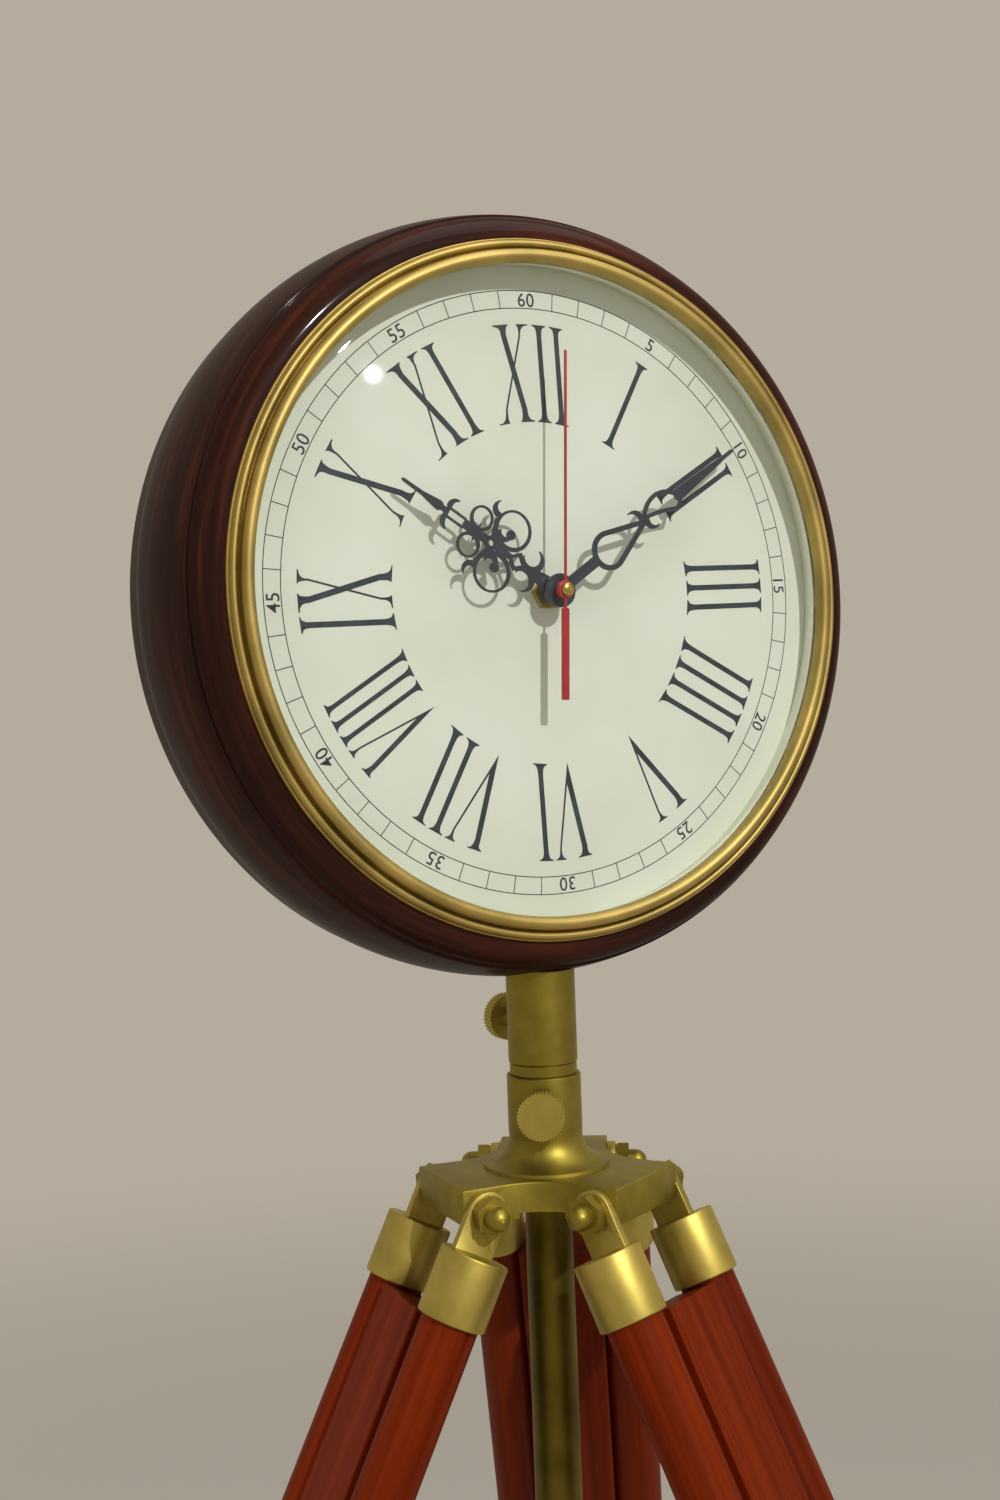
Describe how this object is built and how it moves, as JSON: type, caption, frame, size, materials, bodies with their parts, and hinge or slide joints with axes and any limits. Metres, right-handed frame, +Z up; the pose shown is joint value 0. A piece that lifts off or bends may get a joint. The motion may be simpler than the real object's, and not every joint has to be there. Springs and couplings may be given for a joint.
{
  "type": "tripod floor clock",
  "caption": "Round quartz clock in a turned wooden case with a brass bezel, on a brass pole and a folding wooden tripod with extending legs.",
  "frame": {"origin": "floor level under the pole's axis", "axes": "+Z up, the dial faces -Y, +X to the viewer's right"},
  "size_m": [0.7252, 0.7982, 1.2202],
  "materials": {
    "case_wood": "glossy dark mahogany",
    "leg_wood": "satin mahogany",
    "brass": "satin, slightly aged",
    "clear_glass": "polished",
    "dial_paint": "matt, printed",
    "rim_cream": "matt",
    "hand_paint": "satin",
    "red_paint": "satin",
    "black_plastic": "matt",
    "gear_plastic": "natural",
    "battery_wrap": "gloss wrap",
    "circuit_green": "solder resist",
    "steel": "plain",
    "rubber": "matt"
  },
  "bodies": {
    "tripod_head": {"tripod_head": "brass", "hinge_bolts": "steel", "acorn_nuts": "brass", "hinge_washers": "brass"},
    "pole_lock": {"pole_lock_knob": "brass"},
    "pole": {"centre_pole": "brass", "pole_end_plug": "brass", "stop_ring": "brass"},
    "clock_head": {"swivel_collar": "brass", "head_bolt": "steel", "case_front_ring": "case_wood", "case_rear_ring": "case_wood", "back_cover": "black_plastic", "back_cover_screws": "steel", "bezel": "brass", "glass": "clear_glass", "dial_rim": "rim_cream", "dial": "dial_paint", "movement_housing": "black_plastic", "movement_lid": "black_plastic", "movement_nut": "brass", "battery": "battery_wrap", "circuit_board": "circuit_green"},
    "collar_lock": {"collar_lock_knob": "brass"},
    "minute_train": {"minute_hand": "hand_paint", "minute_wheel": "gear_plastic"},
    "hour_train": {"hour_hand": "hand_paint", "hour_wheel": "gear_plastic"},
    "second_train": {"second_hand": "red_paint", "second_wheel": "gear_plastic"},
    "motion_train": {"motion_wheel": "gear_plastic"},
    "third_train": {"third_wheel": "gear_plastic"},
    "setting_knob": {"setting_knob": "black_plastic"},
    "left_leg": {"left_leg_left_bar": "leg_wood", "left_leg_right_bar": "leg_wood", "left_leg_spacer": "leg_wood", "left_leg_left_ferrule": "brass", "left_leg_right_ferrule": "brass", "left_leg_clamp_band": "brass"},
    "left_clamp": {"left_leg_clamp_knob": "brass"},
    "left_lower_leg": {"left_leg_slide_board": "leg_wood", "left_leg_foot_ferrule": "brass", "left_leg_foot": "rubber"},
    "right_leg": {"right_leg_left_bar": "leg_wood", "right_leg_right_bar": "leg_wood", "right_leg_spacer": "leg_wood", "right_leg_left_ferrule": "brass", "right_leg_right_ferrule": "brass", "right_leg_clamp_band": "brass"},
    "right_clamp": {"right_leg_clamp_knob": "brass"},
    "right_lower_leg": {"right_leg_slide_board": "leg_wood", "right_leg_foot_ferrule": "brass", "right_leg_foot": "rubber"},
    "back_leg": {"back_leg_left_bar": "leg_wood", "back_leg_right_bar": "leg_wood", "back_leg_spacer": "leg_wood", "back_leg_left_ferrule": "brass", "back_leg_right_ferrule": "brass", "back_leg_clamp_band": "brass"},
    "back_clamp": {"back_leg_clamp_knob": "brass"},
    "back_lower_leg": {"back_leg_slide_board": "leg_wood", "back_leg_foot_ferrule": "brass", "back_leg_foot": "rubber"}
  },
  "joints": [
    {"name": "pole_lift", "type": "slide", "parent": "tripod_head", "child": "pole", "axis": [0, 0, 1], "range_m": [0, 0.25]},
    {"name": "pole_lock_turn", "type": "hinge", "parent": "tripod_head", "child": "pole_lock", "pos_m": [0, 0, 0.86229], "axis": [-0.565, -0.8251, 0], "range_deg": [0, 360]},
    {"name": "head_swivel", "type": "hinge", "parent": "pole", "child": "clock_head", "pos_m": [0, 0, 0.88049], "axis": [0, 0, 1], "continuous": true},
    {"name": "collar_lock_turn", "type": "hinge", "parent": "clock_head", "child": "collar_lock", "pos_m": [0, 0, 0.89479], "axis": [0, 1, 0], "range_deg": [0, 360]},
    {"name": "left_leg_fold", "type": "hinge", "parent": "tripod_head", "child": "left_leg", "pos_m": [-0.03759, 0.00289, 0.83029], "axis": [-0.0767, -0.9971, 0], "range_deg": [0, 25.9]},
    {"name": "left_clamp_turn", "type": "hinge", "parent": "left_leg", "child": "left_clamp", "pos_m": [-0.25003, 0.01924, 0.39149], "axis": [-0.8969, 0.069, 0.4368], "range_deg": [0, 360]},
    {"name": "left_leg_slide", "type": "slide", "parent": "left_leg", "child": "left_lower_leg", "axis": [0.4355, -0.0335, 0.8996], "range_m": [0, 0.15]},
    {"name": "right_leg_fold", "type": "hinge", "parent": "tripod_head", "child": "right_leg", "pos_m": [0.01629, -0.034, 0.83029], "axis": [0.9018, 0.4321, 0], "range_deg": [0, 25.9]},
    {"name": "right_clamp_turn", "type": "hinge", "parent": "right_leg", "child": "right_clamp", "pos_m": [0.10836, -0.22615, 0.39149], "axis": [0.3887, -0.8113, 0.4368], "range_deg": [0, 360]},
    {"name": "right_leg_slide", "type": "slide", "parent": "right_leg", "child": "right_lower_leg", "axis": [-0.1887, 0.3939, 0.8996], "range_m": [0, 0.15]},
    {"name": "back_leg_fold", "type": "hinge", "parent": "tripod_head", "child": "back_leg", "pos_m": [0.0213, 0.03111, 0.83029], "axis": [-0.8251, 0.565, 0], "range_deg": [0, 25.9]},
    {"name": "back_clamp_turn", "type": "hinge", "parent": "back_leg", "child": "back_clamp", "pos_m": [0.14168, 0.20691, 0.39149], "axis": [0.5082, 0.7422, 0.4368], "range_deg": [0, 360]},
    {"name": "back_leg_slide", "type": "slide", "parent": "back_leg", "child": "back_lower_leg", "axis": [-0.2468, -0.3604, 0.8996], "range_m": [0, 0.15]},
    {"name": "minute_turn", "type": "hinge", "parent": "clock_head", "child": "minute_train", "pos_m": [0, -0.0163, 1.06729], "axis": [0, 1, 0], "continuous": true},
    {"name": "hour_turn", "type": "hinge", "parent": "clock_head", "child": "hour_train", "pos_m": [0, -0.0163, 1.06729], "axis": [0, 1, 0], "continuous": true},
    {"name": "second_turn", "type": "hinge", "parent": "clock_head", "child": "second_train", "pos_m": [0, -0.0163, 1.06729], "axis": [0, 1, 0], "continuous": true},
    {"name": "motion_turn", "type": "hinge", "parent": "clock_head", "child": "motion_train", "pos_m": [0, -0.0163, 1.07729], "axis": [0, 1, 0], "continuous": true},
    {"name": "third_turn", "type": "hinge", "parent": "clock_head", "child": "third_train", "pos_m": [0.0106, -0.0163, 1.07341], "axis": [0, 1, 0], "continuous": true},
    {"name": "setting_turn", "type": "hinge", "parent": "clock_head", "child": "setting_knob", "pos_m": [-0.0085, -0.0163, 1.08346], "axis": [0, 1, 0], "continuous": true}
  ],
  "couplings": [
    {"joint": "minute_turn", "follows": "second_turn", "ratio": 0.016667},
    {"joint": "hour_turn", "follows": "second_turn", "ratio": 0.0013889},
    {"joint": "motion_turn", "follows": "second_turn", "ratio": -0.0055556},
    {"joint": "setting_turn", "follows": "second_turn", "ratio": 0.013889},
    {"joint": "third_turn", "follows": "second_turn", "ratio": -0.13333}
  ]
}
